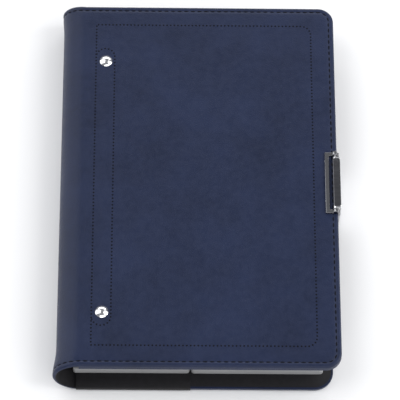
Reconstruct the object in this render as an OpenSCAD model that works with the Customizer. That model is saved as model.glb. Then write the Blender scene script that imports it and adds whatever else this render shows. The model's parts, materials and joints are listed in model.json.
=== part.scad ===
// Book-style keyboard case for a ten-inch tablet, closed.
// X runs from the spine to the clasp, Y along the spine, Z up. The origin is in the resting face.

/* [Covers] */
// From the outside of the spine to the free edge of the front cover
case_w = 194.5; // [180:0.5:235]
// Length of the front cover along the spine
case_l = 284; // [270:1:345]
// From the resting face to the top of the front cover
case_t = 32; // [31:0.5:39]
// Thickness of the outer leather
leather_t = 1.1; // [0.8:0.1:1.4]
// Thickness of the stiff board in each cover
board_t = 2.2; // [1.6:0.1:2.6]
// Thickness of the soft padding under the front leather
foam_t = 1.7; // [1:0.1:2]
// Thickness of the inner lining
lining_t = 0.6; // [0.4:0.1:0.8]
// How far the leather is folded in around the lining
turn_in = 5; // [4:0.5:8]
// How much longer the back cover is than the front one, at each end
back_extra = 4; // [0:0.5:6]
// How far the front cover reaches past the back cover at the free edge
front_overhang = 4.5; // [4:0.5:6]
// Corner radius of the front cover
front_corner_r = 11; // [8:0.5:14]
// Corner radius of the back cover
back_corner_r = 13; // [8:0.5:15]

/* [Spine] */
// Free angle left at each fold of the spine
fold_gap_deg = 1.2; // [0.8:0.1:2]
// Thickness of the stiff core of the spine
spine_core_t = 0.8; // [0.6:0.1:1.2]
// Thickness of the lining inside the spine
spine_lining_t = 0.5; // [0.4:0.1:0.8]

/* [Keyboard] */
// Width of the keyboard section, across the rows
keyboard_w = 80; // [78:0.5:84]
// Length of both deck sections
deck_l = 270; // [262:1:276]
// Height of the deck sections
deck_h = 7.2; // [6.8:0.1:8]
// Gap between the two deck sections
deck_gap = 1; // [0.8:0.1:2]
// Wall of the deck sections
deck_wall = 1.4; // [1.2:0.1:1.8]
// Height of a key above the deck
key_rise = 0.8; // [0.5:0.1:1]
// Travel of a key
key_travel = 1.5; // [1:0.1:1.7]
// Gap between neighbouring keys
key_gap = 2.4; // [2.2:0.1:3]
// Clearance round a key in its opening
key_clear = 0.4; // [0.3:0.05:0.5]
// Length of the touchpad, along the spine
touchpad_l = 62; // [50:1:74]
// Width of the touchpad
touchpad_w = 40; // [34:1:44]
// Width of the touchpad buttons
pad_button_w = 9; // [7:0.5:11]

/* [Tablet holder] */
// Length of the tablet that fits
tablet_l = 257; // [245:1:260]
// Width of the tablet that fits
tablet_w = 162; // [150:1:162]
// Thickness of the holder panel
panel_t = 2.2; // [2:0.1:2.4]
// Wall of the corner holders
corner_wall = 2; // [1.6:0.1:2.6]
// Length of each arm of a corner holder
corner_arm = 24; // [18:1:34]
// Half the distance between the two hinges
hinge_y = 99; // [85:1:106]
// How far both hinges are moved towards the -Y end
hinge_shift = 2.7; // [0:0.1:4]
// Width of the fixed hinge leaf
hinge_w = 24; // [20:1:28]
// Outer radius of the hinge knuckles
knuckle_r = 1.7; // [1.5:0.1:1.8]
// Radius of the hinge pin
pin_r = 0.9; // [0.7:0.05:1]
// Radial clearance of the pins in the moving knuckles
pin_clear = 0.05; // [0.02:0.01:0.09]
// Diameter of the dome rivets
dome_d = 9; // [7:0.5:11]
// Height of the dome rivets
dome_h = 2.2; // [1.5:0.1:3]

/* [Clasp] */
// Length of the clasp frame along the edge
clasp_l = 45.6; // [40:0.5:60]
// Width of the clasp frame on the cover
clasp_w = 9.2; // [8.5:0.1:9.6]
// Width of the bars of the clasp frame
bar_w = 2.4; // [2:0.1:2.6]
// Thickness of the clasp metal
clasp_metal = 1.4; // [1.2:0.1:1.6]
// Outer radius of the flap's barrel
barrel_r = 1.7; // [1.5:0.1:1.8]
// Radius of the clasp pin
clasp_pin_r = 0.8; // [0.6:0.05:0.9]

/* [Hidden] */
$fn = 48;
body_gap = 0.3;
spine_r = case_t / 2;
spine_x = -case_w / 2 - 0.25 + spine_r;
spine_z = spine_r;
fold_deg = 45;
overlap_deg = 0.5;
front_edge = case_w / 2 - 0.25;
back_edge = front_edge - front_overhang;
back_l = case_l + 2 * back_extra;
spine_l = case_l + 1;

// Heights of the back cover's layers and of the deck on it.
back_board_z = leather_t;
back_lining_z = back_board_z + board_t;
deck_z = back_lining_z + lining_t + 0.1;
deck_top_z = deck_z + deck_h;
deck_plate_t = 1.3;
deck_plate_z = deck_top_z - deck_plate_t;
deck_floor = 1.2;
flap_sheet_t = 0.5;

// Heights of the front cover's layers and of the holder under it.
front_foam_z = case_t - leather_t - foam_t;
front_board_z = front_foam_z - board_t;
front_lining_z = front_board_z - lining_t;
panel_z = front_lining_z - 0.6 - panel_t;
fold_t = lining_t;

// Deck sections, spine side first.
keyboard_x = spine_x - 4.5;
keyboard_end = keyboard_x + keyboard_w;
palm_x = keyboard_end + deck_gap;
palm_end = back_edge - 7;
palm_middle = (palm_x + palm_end) / 2;
deck_y = deck_l / 2;
deck_r = 2.2;

// Keys: five rows of fifteen units.
row_n = 5;
key_margin = 6;
row_pitch = (keyboard_w - key_margin) / row_n;
unit_n = 15;
unit = (deck_l - 2 * key_margin) / unit_n;
key_foot_z = deck_plate_z - 0.9;
key_foot_t = 0.6;
key_foot_extra = 0.5;
key_top_z = deck_top_z + key_rise;
number_row = [for (i = [0 : 14]) 1];
tab_row = concat([1.5], [for (i = [0 : 11]) 1], [1.5]);
home_row = concat([1.75], [for (i = [0 : 10]) 1], [2.25]);
shift_row = concat([2.25], [for (i = [0 : 9]) 1], [2.75]);
bottom_left = [1.25, 1.25, 1.25];
space_u = 6.25;
bottom_right = [1.25, 1.25, 1.25, 1.25];
bottom_row = concat(bottom_left, [space_u], bottom_right);
space_start = run(bottom_left, len(bottom_left));

// Inside of the deck.
sheet_z = deck_z + deck_floor + 0.9;
sheet_t = 0.5;
dome_top = key_foot_z - key_travel - 0.1;
board_z = deck_z + deck_floor;
pcb_t = 0.8;
screw_r = 1;
screw_head_r = 1.8;
rubber_dome_r = 2.4;
sheet_margin = 3;
ribbon_reach = 6;
ribbon_half = 9;
ribbon_t = 0.1;
board_w = 60;
board_half = 40;
chip_l = 8;
chip_t = 1;
battery_half = 34;
battery_t = 3.4;
boss_r = 2.1;
boss_y = deck_y - 3.6;
boss_edge = 3.6;
pad_x = palm_middle - 8;
pad_button_x = pad_x + touchpad_w / 2 + 1.2;
pad_button_l = touchpad_l / 2 - 0.4;
switch_x = palm_middle - 21;
socket_x = palm_middle + 14;
connect_x = palm_x + 14;
connect_r = 2.5;
lens_r = 1.2;
switch_z = deck_z + 3.4;
switch_clear = 0.4;
knob_l = 2.4;
knob_h = 1.6;
switch_plate_l = 5.2;
switch_plate_h = 3.2;
socket_z = deck_z + 3.5;
socket_l = 7.6;
socket_h = 2.8;
socket_wall = 0.5;
socket_depth = 7.5;
lens_x = palm_x + 24;
control_y = deck_y - 22;

// Tablet holder.
axis_x = spine_x + 2.5;
axis_z = front_lining_z - knuckle_r - 0.1;
leaf_t = 0.9;
panel_x = axis_x + 2.6;
panel_end = front_edge - 5.5;
panel_y = tablet_l / 2 + corner_wall + 2;
tablet_x = panel_x + 3;
lip_t = 0.8;
lip_z = key_top_z + body_gap;
notch_l = hinge_w + 1;
dome_x = spine_x + 15;
dome_shank_r = 1.5;
dome_foot_t = 0.6;
notch_end = dome_x + 6;
leaf_l = hinge_w + 17;
leaf_screw_y = hinge_w / 2 + 4.6;
leaf_depth = 11;
knuckle_gap = 0.2;
middle_l = hinge_w / 3;

// Clasp.
frame_x = front_edge - clasp_w;
clasp_axis_x = front_edge - 1.6;
clasp_axis_z = case_t + barrel_r + 0.3;
flap_l = clasp_l - 2 * bar_w - 2 * body_gap;
flap_x = front_edge + 0.7;
flap_t = 1.3;
flap_bottom = 5;
finger_notch_l = clasp_l + 4;
backing_t = 0.5;
rivet_head_t = 0.5;
rivet_head_r = 1.6;
leaf_rivet_r = 0.8;
clasp_rivet_r = 0.9;
magnet_half = 7;
magnet_z = 2;
magnet_h = 6;
magnet_t = 2;
flap_magnet_t = 0.9;
catch_x = flap_x - body_gap;
clasp_rivet_y = clasp_l / 2 - 7;
frame_drop = 3.5;

// A box between two corners.
module box(x0, x1, y0, y1, z0, z1) {
  translate([x0, y0, z0]) cube([x1 - x0, y1 - y0, z1 - z0]);
}

// A plate with round corners of radius r, centred on Y. The corners at x0 take radius s.
module plate(x0, x1, half_l, z0, z1, r, s) {
  box(x0 + s, x1 - r, -half_l, half_l, z0, z1);
  box(x0, x0 + s, -half_l + s, half_l - s, z0, z1);
  box(x1 - r, x1, -half_l + r, half_l - r, z0, z1);
  for (side = [-1, 1]) {
    translate([x1 - r, side * (half_l - r), z0]) cylinder(r = r, h = z1 - z0);
    translate([x0 + s, side * (half_l - s), z0]) cylinder(r = s, h = z1 - z0);
  }
}

// A strip of the round spine, between two angles counted from the bottom.
module spine_arc(from, to, inner, outer) {
  translate([spine_x, 0, spine_z])
    rotate([90, 0, 0])
      rotate([0, 0, 270 - to])
        rotate_extrude(angle = to - from, $fn = 96)
          translate([inner, -spine_l / 2])
            square([outer - inner, spine_l]);
}

// The part of the spine between its two folds.
module spine_strip(inner, outer) {
  spine_arc(fold_deg + fold_gap_deg / 2, 180 - fold_deg - fold_gap_deg / 2, inner, outer);
}

// Place along Y of the hinge on one side, with its rivet.
function hinge_at(side) = side * hinge_y - hinge_shift;

// A round bar along Y.
module bar_y(x, z, r, y0, y1) {
  translate([x, y1, z]) rotate([90, 0, 0]) cylinder(r = r, h = y1 - y0);
}

// Keys of one row: widths in units along Y, counted from the -Y end.
function run(widths, n) = n == 0 ? 0 : widths[n - 1] + run(widths, n - 1);
function row_x(row) = keyboard_x + key_margin / 2 + row * row_pitch;

module key(row, start, width, grow, z0, z1) {
  y0 = -deck_y + key_margin + start * unit;
  box(row_x(row) + key_gap / 2 - grow, row_x(row) + row_pitch - key_gap / 2 + grow,
    y0 + key_gap / 2 - grow, y0 + width * unit - key_gap / 2 + grow, z0, z1);
}

module key_cap(row, start, width) {
  key(row, start, width, 0, key_foot_z, key_top_z);
  key(row, start, width, key_foot_extra + key_clear, key_foot_z, key_foot_z + key_foot_t);
}

module row_caps(row, widths) {
  for (i = [0 : len(widths) - 1]) key_cap(row, run(widths, i), widths[i]);
}

module row_openings(row, widths) {
  for (i = [0 : len(widths) - 1])
    key(row, run(widths, i), widths[i], key_clear, deck_plate_z - 1, deck_top_z + 1);
}

module row_domes(row, widths) {
  for (i = [0 : len(widths) - 1])
    translate([row_x(row) + row_pitch / 2,
        -deck_y + key_margin + (run(widths, i) + widths[i] / 2) * unit, sheet_z])
      cylinder(r = rubber_dome_r, h = dome_top - sheet_z);
}

// Screw places of the two deck sections.
module at_screws() {
  for (side = [-1, 1]) {
    for (x = [keyboard_x + boss_edge, (keyboard_x + keyboard_end) / 2, keyboard_end - boss_edge,
        palm_x + boss_edge, palm_middle, palm_end - boss_edge])
      translate([x, side * boss_y, 0]) children();
  }
}

// An open tray for one deck section.
module tray(x0, x1) {
  difference() {
    plate(x0, x1, deck_y, deck_z, deck_plate_z, deck_r, deck_r);
    plate(x0 + deck_wall, x1 - deck_wall, deck_y - deck_wall, deck_z + deck_floor,
      deck_plate_z + 1, deck_r - deck_wall, deck_r - deck_wall);
  }
}

// --- Back cover ---

module back_leather() {
  color("#30384f") {
    difference() {
      plate(spine_x, back_edge, back_l / 2, 0, back_lining_z + fold_t, back_corner_r, 1.5);
      plate(spine_x + 1, back_edge - 1, back_l / 2 - 1, back_board_z, back_lining_z,
        back_corner_r - 1, 0.5);
      plate(spine_x + 1, back_edge - turn_in, back_l / 2 - turn_in, back_lining_z - 0.5,
        back_lining_z + fold_t + 1, back_corner_r - turn_in, 0.5);
    }
    spine_arc(-overlap_deg, fold_deg - fold_gap_deg / 2, spine_r - leather_t, spine_r);
  }
}

module back_board() {
  color("#8a7a63")
    plate(spine_x + 1, back_edge - 1, back_l / 2 - 1, back_board_z, back_lining_z,
      back_corner_r - 1, 0.5);
}

module back_lining() {
  color("#17171b")
    plate(spine_x + 1.1, back_edge - turn_in - 0.1, back_l / 2 - turn_in - 0.1, back_lining_z,
      back_lining_z + lining_t, back_corner_r - turn_in, 0.5);
}

// Bosses of the deck end below its top plate, and the screws come up through them.
module deck_tray(x0, x1) {
  difference() {
    union() {
      tray(x0, x1);
      intersection() {
        at_screws() translate([0, 0, deck_z]) cylinder(r = boss_r, h = deck_plate_z - deck_z);
        box(x0, x1, -deck_y, deck_y, deck_z, deck_plate_z);
      }
    }
    at_screws() translate([0, 0, deck_z - 1]) cylinder(r = screw_r, h = deck_h);
    at_screws() translate([0, 0, deck_z - 1]) cylinder(r = screw_head_r, h = 1 + deck_floor / 2);
  }
}

// The opening in a tray's wall that the ribbon cable passes through.
module ribbon_slot(x0, x1) {
  box(x0, x1, -ribbon_half - 2, ribbon_half + 2, board_z + pcb_t - 0.2, board_z + pcb_t + 1);
}

module keyboard_base() {
  color("#8d8f94") difference() {
    deck_tray(keyboard_x, keyboard_end);
    ribbon_slot(keyboard_end - deck_wall - 1, keyboard_end + 1);
  }
}

module deck_screw_holes() {
  at_screws() translate([0, 0, deck_plate_z - 1]) cylinder(r = screw_r, h = 1.8);
}

module keyboard_top() {
  color("#8d8f94") difference() {
    plate(keyboard_x, keyboard_end, deck_y, deck_plate_z, deck_top_z, deck_r, deck_r);
    row_openings(0, number_row);
    row_openings(1, tab_row);
    row_openings(2, home_row);
    row_openings(3, shift_row);
    row_openings(4, bottom_row);
    deck_screw_holes();
  }
}

module number_row_keys() {
  color("#1d1e22") row_caps(0, number_row);
}

module tab_row_keys() {
  color("#1d1e22") row_caps(1, tab_row);
}

module home_row_keys() {
  color("#1d1e22") row_caps(2, home_row);
}

module shift_row_keys() {
  color("#1d1e22") row_caps(3, shift_row);
}

module bottom_row_keys() {
  color("#1d1e22") {
    for (i = [0 : 2]) key_cap(4, run(bottom_left, i), bottom_left[i]);
    for (i = [0 : 3]) key_cap(4, space_start + space_u + run(bottom_right, i), bottom_right[i]);
  }
}

module space_bar() {
  color("#1d1e22") key_cap(4, space_start, space_u);
}

// A flat sheet under all the keys.
module sheet_under_keys(z, t) {
  box(keyboard_x + sheet_margin, keyboard_end - sheet_margin, -deck_y + key_margin,
    deck_y - key_margin, z, z + t);
}

module dome_sheet() {
  color("#c9c9c4") {
    sheet_under_keys(sheet_z, sheet_t);
    row_domes(0, number_row);
    row_domes(1, tab_row);
    row_domes(2, home_row);
    row_domes(3, shift_row);
    row_domes(4, bottom_row);
  }
}

module key_circuit() {
  color("#2f5d46") sheet_under_keys(board_z, pcb_t);
}

module ribbon_cable() {
  color("#c77f2e")
    box(keyboard_end - ribbon_reach, palm_x + ribbon_reach + 2, -ribbon_half, ribbon_half,
      board_z + pcb_t, board_z + pcb_t + ribbon_t);
}

module palm_base() {
  color("#8d8f94") difference() {
    deck_tray(palm_x, palm_end);
    ribbon_slot(palm_x - 1, palm_x + deck_wall + 1);
    box(switch_x - knob_l - 0.6, switch_x + knob_l + 0.2, deck_y - 3, deck_y + 1,
      switch_z - knob_h / 2 - switch_clear, switch_z + knob_h / 2 + switch_clear);
    box(socket_x - socket_l / 2 - 0.2, socket_x + socket_l / 2 + 0.2, deck_y - 3, deck_y + 1,
      socket_z - socket_h / 2 - 0.1, socket_z + socket_h / 2 + 0.1);
  }
}

module palm_top() {
  color("#8d8f94") difference() {
    plate(palm_x, palm_end, deck_y, deck_plate_z, deck_top_z, deck_r, deck_r);
    box(pad_x - touchpad_w / 2, pad_x + touchpad_w / 2, -touchpad_l / 2, touchpad_l / 2,
      deck_top_z - 0.8, deck_top_z + 1);
    for (side = [-1, 1])
      pad_button(side, key_clear, deck_plate_z - 1, deck_top_z + 1);
    translate([connect_x, control_y, deck_plate_z - 1]) cylinder(r = connect_r + key_clear, h = 4);
    translate([lens_x, control_y, deck_plate_z - 1]) cylinder(r = lens_r, h = 4);
    deck_screw_holes();
  }
}

module touchpad_plate() {
  color("#6f7177")
    box(pad_x - touchpad_w / 2 + 0.1, pad_x + touchpad_w / 2 - 0.1, -touchpad_l / 2 + 0.1,
      touchpad_l / 2 - 0.1, deck_top_z - 0.8, deck_top_z - 0.1);
}

// One touchpad button; side is -1 for the user's left.
module pad_button(side, grow, z0, z1) {
  y0 = side > 0 ? 0.8 : -pad_button_l;
  y1 = side > 0 ? pad_button_l : -0.8;
  box(pad_button_x - grow, pad_button_x + pad_button_w + grow, y0 - grow, y1 + grow, z0, z1);
}

module pad_button_cap(side) {
  pad_button(side, 0, key_foot_z, deck_top_z + 0.2);
  intersection() {
    pad_button(side, key_foot_extra + key_clear, key_foot_z, key_foot_z + key_foot_t);
    if (side > 0) box(0, palm_end, 0.2, deck_y, 0, case_t);
    else box(0, palm_end, -deck_y, -0.2, 0, case_t);
  }
}

module left_pad_button() {
  color("#6f7177") pad_button_cap(-1);
}

module right_pad_button() {
  color("#6f7177") pad_button_cap(1);
}

module control_board() {
  color("#2f5d46") {
    box(palm_x + sheet_margin, palm_x + board_w, -board_half, deck_y - 8, board_z, board_z + pcb_t);
    translate([palm_x + 20, board_half + 20, board_z + pcb_t]) cube([chip_l, chip_l, chip_t]);
  }
}

module battery() {
  color("#9aa0a6")
    translate([0, -deck_y / 2 - 18, 0])
      plate(palm_x + 8, palm_x + board_w, battery_half, board_z, board_z + battery_t, 2, 2);
}

// The socket's outside, or its inside when the wall is taken off.
module socket_box(wall, back, front) {
  box(socket_x - socket_l / 2 + wall, socket_x + socket_l / 2 - wall, deck_y - back,
    deck_y + front, socket_z - socket_h / 2 + wall, socket_z + socket_h / 2 - wall);
}

module usb_socket() {
  color("#b9bcc0") difference() {
    socket_box(0, socket_depth, -0.3);
    socket_box(socket_wall, socket_depth - 1, 1);
  }
}

module power_switch() {
  color("#1d1e22") {
    box(switch_x - knob_l - 0.2, switch_x - 0.2, deck_y - 1.8, deck_y + 0.8,
      switch_z - knob_h / 2, switch_z + knob_h / 2);
    box(switch_x - switch_plate_l / 2 - 1.4, switch_x + switch_plate_l / 2 - 1.4, deck_y - 2.8,
      deck_y - 1.7, switch_z - switch_plate_h / 2, switch_z + switch_plate_h / 2);
  }
}

module connect_button() {
  color("#1d1e22") {
    translate([connect_x, control_y, key_foot_z]) {
      cylinder(r = connect_r, h = deck_top_z + 0.3 - key_foot_z);
      cylinder(r = connect_r + key_clear + key_foot_extra, h = key_foot_t);
    }
  }
}

module indicator_lens() {
  color("#dfe6ea") translate([lens_x, control_y, deck_plate_z]) cylinder(r = lens_r, h = deck_plate_t);
}

module deck_screws() {
  color("#a9abb0") at_screws() {
    translate([0, 0, deck_z]) cylinder(r = screw_head_r, h = deck_floor / 2);
    translate([0, 0, deck_z]) cylinder(r = screw_r, h = deck_plate_z + 0.8 - deck_z);
  }
}

// A thin black flap on the margin of the back cover, beside the end of the keyboard section.
module end_flap() {
  z = back_lining_z + fold_t;
  color("#17171b")
    box(keyboard_x + deck_r, palm_x - deck_gap / 2, -back_l / 2 + 0.1, -deck_y - 0.2, z,
      z + flap_sheet_t);
}

module catch_block() {
  color("#30384f") difference() {
    box(back_edge + 0.05, catch_x, -flap_l / 2, flap_l / 2, 0.6, back_lining_z + fold_t + 5);
    box(catch_x - magnet_t, catch_x + 1, -magnet_half, magnet_half, magnet_z, magnet_z + magnet_h);
  }
}

module catch_magnet() {
  color("#c2c4c8")
    box(catch_x - magnet_t, catch_x, -magnet_half, magnet_half, magnet_z, magnet_z + magnet_h);
}

// --- Spine ---

module spine_leather() {
  color("#30384f") spine_strip(spine_r - leather_t, spine_r);
}

module spine_core() {
  color("#8a7a63") spine_strip(spine_r - leather_t - spine_core_t, spine_r - leather_t);
}

module spine_lining() {
  inner = spine_r - leather_t - spine_core_t - spine_lining_t;
  color("#17171b") spine_strip(inner, inner + spine_lining_t);
}

// --- Front cover ---

// Holes for the two dome rivets.
module at_domes() {
  for (side = [-1, 1]) translate([dome_x, hinge_at(side), 0]) children();
}

module at_clasp_rivets() {
  for (side = [-1, 1]) translate([frame_x + bar_w / 2, side * clasp_rivet_y, 0]) children();
}

module front_holes() {
  at_domes() translate([0, 0, front_lining_z - 1]) cylinder(r = dome_shank_r, h = case_t);
  at_clasp_rivets() translate([0, 0, front_lining_z - 1]) cylinder(r = clasp_rivet_r, h = case_t);
}

module front_leather() {
  color("#30384f") difference() {
    union() {
      plate(spine_x, front_edge, case_l / 2, front_lining_z, case_t, front_corner_r, 1.5);
      spine_arc(180 - fold_deg + fold_gap_deg / 2, 180 + overlap_deg, spine_r - leather_t, spine_r);
    }
    plate(spine_x + 1, front_edge - 1, case_l / 2 - 1, front_board_z, case_t - leather_t,
      front_corner_r - 1, 0.5);
    plate(spine_x + 1, front_edge - turn_in, case_l / 2 - turn_in, front_lining_z - 1,
      front_board_z + 0.5, front_corner_r - turn_in, 0.5);
    front_holes();
  }
}

module front_foam() {
  color("#d8d4c8") difference() {
    plate(spine_x + 1, front_edge - 1, case_l / 2 - 1, front_foam_z, case_t - leather_t,
      front_corner_r - 1, 0.5);
    front_holes();
  }
}

module front_board() {
  color("#8a7a63") difference() {
    plate(spine_x + 1, front_edge - 1, case_l / 2 - 1, front_board_z, front_foam_z,
      front_corner_r - 1, 0.5);
    front_holes();
  }
}

module front_lining() {
  color("#17171b") difference() {
    plate(spine_x + 1.1, front_edge - turn_in - 0.1, case_l / 2 - turn_in - 0.1,
      front_lining_z, front_board_z, front_corner_r - turn_in, 0.5);
    front_holes();
  }
}

module dome_rivets() {
  ball_r = (dome_d * dome_d / 4 + dome_h * dome_h) / (2 * dome_h);
  color("#e6e6e8") at_domes() {
    intersection() {
      translate([0, 0, case_t + dome_h - ball_r]) sphere(r = ball_r, $fn = 96);
      translate([0, 0, case_t]) cylinder(r = dome_d, h = dome_h + 1);
    }
    translate([0, 0, front_lining_z - leaf_t])
      cylinder(r = dome_shank_r, h = case_t - front_lining_z + leaf_t);
    translate([0, 0, front_lining_z - leaf_t - dome_foot_t])
      cylinder(r = dome_shank_r + 1.1, h = dome_foot_t);
  }
}

// The fixed leaves lie under the lining, and the middle knuckle is theirs.
module fixed_hinge_leaves() {
  color("#b4b6ba") for (side = [-1, 1]) translate([0, hinge_at(side), 0]) difference() {
    union() {
      box(axis_x, notch_end - 1, -hinge_w / 2, hinge_w / 2, front_lining_z - leaf_t, front_lining_z);
      bar_y(axis_x, axis_z, knuckle_r, -middle_l / 2, middle_l / 2);
      box(axis_x - 0.5, axis_x + knuckle_r, -middle_l / 2, middle_l / 2, axis_z, front_lining_z);
    }
    bar_y(axis_x, axis_z, pin_r, -hinge_w, hinge_w);
    for (end = [-1, 1])
      box(axis_x - 3, axis_x + 3, end > 0 ? middle_l / 2 : -hinge_w, end > 0 ? hinge_w : -middle_l / 2,
        axis_z - 3, front_lining_z + 1);
    translate([dome_x, 0, front_lining_z - 2]) cylinder(r = dome_shank_r, h = 4);
  }
}

module hinge_pins() {
  color("#c6c8cc") for (side = [-1, 1])
    bar_y(axis_x, axis_z, pin_r, hinge_at(side) - hinge_w / 2, hinge_at(side) + hinge_w / 2);
}

// The frame is a flat U on the cover whose two arms turn down over the free edge.
module clasp_frame() {
  half = clasp_l / 2;
  edge_x = front_edge + 0.1;
  color("#dcdcdf") difference() {
    union() {
      box(frame_x, frame_x + bar_w, -half, half, case_t, case_t + clasp_metal);
      for (side = [-1, 1]) {
        y0 = side > 0 ? half - bar_w : -half;
        box(frame_x, edge_x + clasp_metal, y0, y0 + bar_w, case_t, case_t + clasp_metal);
        box(edge_x, edge_x + clasp_metal, y0, y0 + bar_w, case_t - frame_drop, case_t + clasp_metal);
        bar_y(clasp_axis_x, clasp_axis_z, barrel_r, y0, y0 + bar_w);
        box(clasp_axis_x - barrel_r, clasp_axis_x + barrel_r, y0, y0 + bar_w, case_t, clasp_axis_z);
      }
    }
    bar_y(clasp_axis_x, clasp_axis_z, clasp_pin_r, -half - 1, half + 1);
    at_clasp_rivets() translate([0, 0, case_t - 1]) cylinder(r = clasp_rivet_r, h = 1.9);
  }
}

module clasp_backing() {
  color("#b4b6ba") difference() {
    box(frame_x - 0.6, front_edge - turn_in + 0.4, -clasp_l / 2 + 2, clasp_l / 2 - 2,
      front_lining_z - backing_t, front_lining_z);
    front_holes();
  }
}

module clasp_rivets() {
  color("#b4b6ba") at_clasp_rivets() {
    translate([0, 0, front_lining_z - backing_t])
      cylinder(r = clasp_rivet_r, h = case_t + 0.9 - front_lining_z + backing_t);
    translate([0, 0, front_lining_z - backing_t - rivet_head_t])
      cylinder(r = rivet_head_r, h = rivet_head_t);
  }
}

module clasp_pin() {
  color("#c6c8cc") bar_y(clasp_axis_x, clasp_axis_z, clasp_pin_r, -clasp_l / 2, clasp_l / 2);
}

// The flap turns on the pin and hangs down over the edge to the back cover's catch.
module clasp_flap() {
  color("#dcdcdf") difference() {
    union() {
      bar_y(clasp_axis_x, clasp_axis_z, barrel_r, -flap_l / 2, flap_l / 2);
      box(clasp_axis_x, flap_x + flap_t, -flap_l / 2, flap_l / 2, clasp_axis_z + barrel_r - flap_t,
        clasp_axis_z + barrel_r);
      box(flap_x, flap_x + flap_t, -flap_l / 2, flap_l / 2, flap_bottom, clasp_axis_z + barrel_r);
    }
    bar_y(clasp_axis_x, clasp_axis_z, clasp_pin_r + pin_clear, -clasp_l, clasp_l);
    box(clasp_axis_x - 0.6, flap_x + flap_t - 1, -flap_l / 2 + 3, flap_l / 2 - 3,
      clasp_axis_z + barrel_r - 0.4, clasp_axis_z + barrel_r + 1);
  }
}

module flap_inlay() {
  color("#5a5c62")
    box(clasp_axis_x - 0.5, flap_x + flap_t - 1.1, -flap_l / 2 + 3.1, flap_l / 2 - 3.1,
      clasp_axis_z + barrel_r - 0.4, clasp_axis_z + barrel_r - 0.05);
}

module flap_magnet() {
  color("#c2c4c8")
    box(flap_x + flap_t, flap_x + flap_t + flap_magnet_t, -magnet_half, magnet_half,
      flap_bottom + 0.5, flap_bottom + 0.5 + magnet_h + 0.5);
}

// --- Tablet holder ---

module holder_panel() {
  color("#17171b") difference() {
    plate(panel_x, panel_end, panel_y, panel_z, panel_z + panel_t, 5, 5);
    for (side = [-1, 1])
      box(panel_x - 1, notch_end, hinge_at(side) - notch_l / 2, hinge_at(side) + notch_l / 2,
        panel_z - 1, panel_z + panel_t + 1);
    box(frame_x - 1.8, panel_end + 1, -finger_notch_l / 2, finger_notch_l / 2, panel_z - 1,
      panel_z + panel_t + 1);
    at_leaf_rivets() translate([0, 0, panel_z - 1]) cylinder(r = leaf_rivet_r, h = panel_t + 2);
  }
}

module at_leaf_rivets() {
  for (side = [-1, 1]) for (end = [-1, 1])
    translate([panel_x + 6, hinge_at(side) + end * leaf_screw_y, 0]) children();
}

module moving_hinge_leaves() {
  color("#b4b6ba") for (side = [-1, 1]) translate([0, hinge_at(side), 0]) difference() {
    union() {
      box(panel_x, panel_x + leaf_depth, -leaf_l / 2, leaf_l / 2, panel_z - leaf_t, panel_z);
      for (end = [-1, 1]) {
        y0 = end > 0 ? middle_l / 2 + knuckle_gap : -hinge_w / 2;
        y1 = end > 0 ? hinge_w / 2 : -middle_l / 2 - knuckle_gap;
        bar_y(axis_x, axis_z, knuckle_r, y0, y1);
        box(axis_x, panel_x + 1, y0, y1, panel_z - leaf_t, axis_z);
      }
    }
    bar_y(axis_x, axis_z, pin_r + pin_clear, -hinge_w, hinge_w);
    for (end = [-1, 1])
      translate([panel_x + 6, end * leaf_screw_y, panel_z - 2]) cylinder(r = leaf_rivet_r, h = 4);
  }
}

module leaf_rivets() {
  color("#b4b6ba") at_leaf_rivets() {
    translate([0, 0, panel_z - leaf_t]) cylinder(r = leaf_rivet_r, h = panel_t + leaf_t);
    translate([0, 0, panel_z - leaf_t - rivet_head_t]) cylinder(r = rivet_head_r, h = rivet_head_t);
  }
}

// Four corner holders: two walls and a lip round each corner of the tablet.
module corner_holder(x, y, dx, dy) {
  x1 = x + dx * corner_arm;
  y1 = y + dy * corner_arm;
  xo = x - dx * corner_wall;
  yo = y - dy * corner_wall;
  difference() {
    box(min(xo, x1), max(xo, x1), min(yo, y1), max(yo, y1), lip_z, panel_z);
    box(min(x, x + dx * 90), max(x, x + dx * 90), min(y, y + dy * 90), max(y, y + dy * 90),
      lip_z + lip_t, panel_z + 1);
    translate([x1, y1, lip_z - 1]) cylinder(r = corner_arm - 6, h = lip_t + 1.5);
    for (side = [-1, 1])
      box(panel_x - 1, panel_x + leaf_depth + 0.1, hinge_at(side) - leaf_l / 2 - 0.1,
        hinge_at(side) + leaf_l / 2 + 0.1, panel_z - leaf_t - 0.1, panel_z + 1);
  }
}

module corner_holders() {
  color("#17171b") for (side = [-1, 1]) {
    corner_holder(tablet_x, side * tablet_l / 2, 1, -side);
    corner_holder(tablet_x + tablet_w, side * tablet_l / 2, -1, -side);
  }
}

back_leather();
back_board();
back_lining();
keyboard_base();
keyboard_top();
number_row_keys();
tab_row_keys();
home_row_keys();
shift_row_keys();
bottom_row_keys();
space_bar();
dome_sheet();
key_circuit();
ribbon_cable();
palm_base();
palm_top();
touchpad_plate();
left_pad_button();
right_pad_button();
control_board();
battery();
usb_socket();
power_switch();
connect_button();
indicator_lens();
deck_screws();
end_flap();
catch_block();
catch_magnet();
spine_leather();
spine_core();
spine_lining();
front_leather();
front_foam();
front_board();
front_lining();
dome_rivets();
fixed_hinge_leaves();
hinge_pins();
clasp_frame();
clasp_backing();
clasp_rivets();
clasp_pin();
clasp_flap();
flap_inlay();
flap_magnet();
holder_panel();
moving_hinge_leaves();
leaf_rivets();
corner_holders();
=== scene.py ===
# %% [markdown]
# # A tablet keyboard case, closed like a book
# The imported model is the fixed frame. It says where every piece is and how it moves, so each new
# piece is placed from the boxes of the solids that it stands for.

# %% Load the frame
import json
import math

import bmesh
import bpy
import numpy as np
from mathutils import Matrix, Vector


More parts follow.
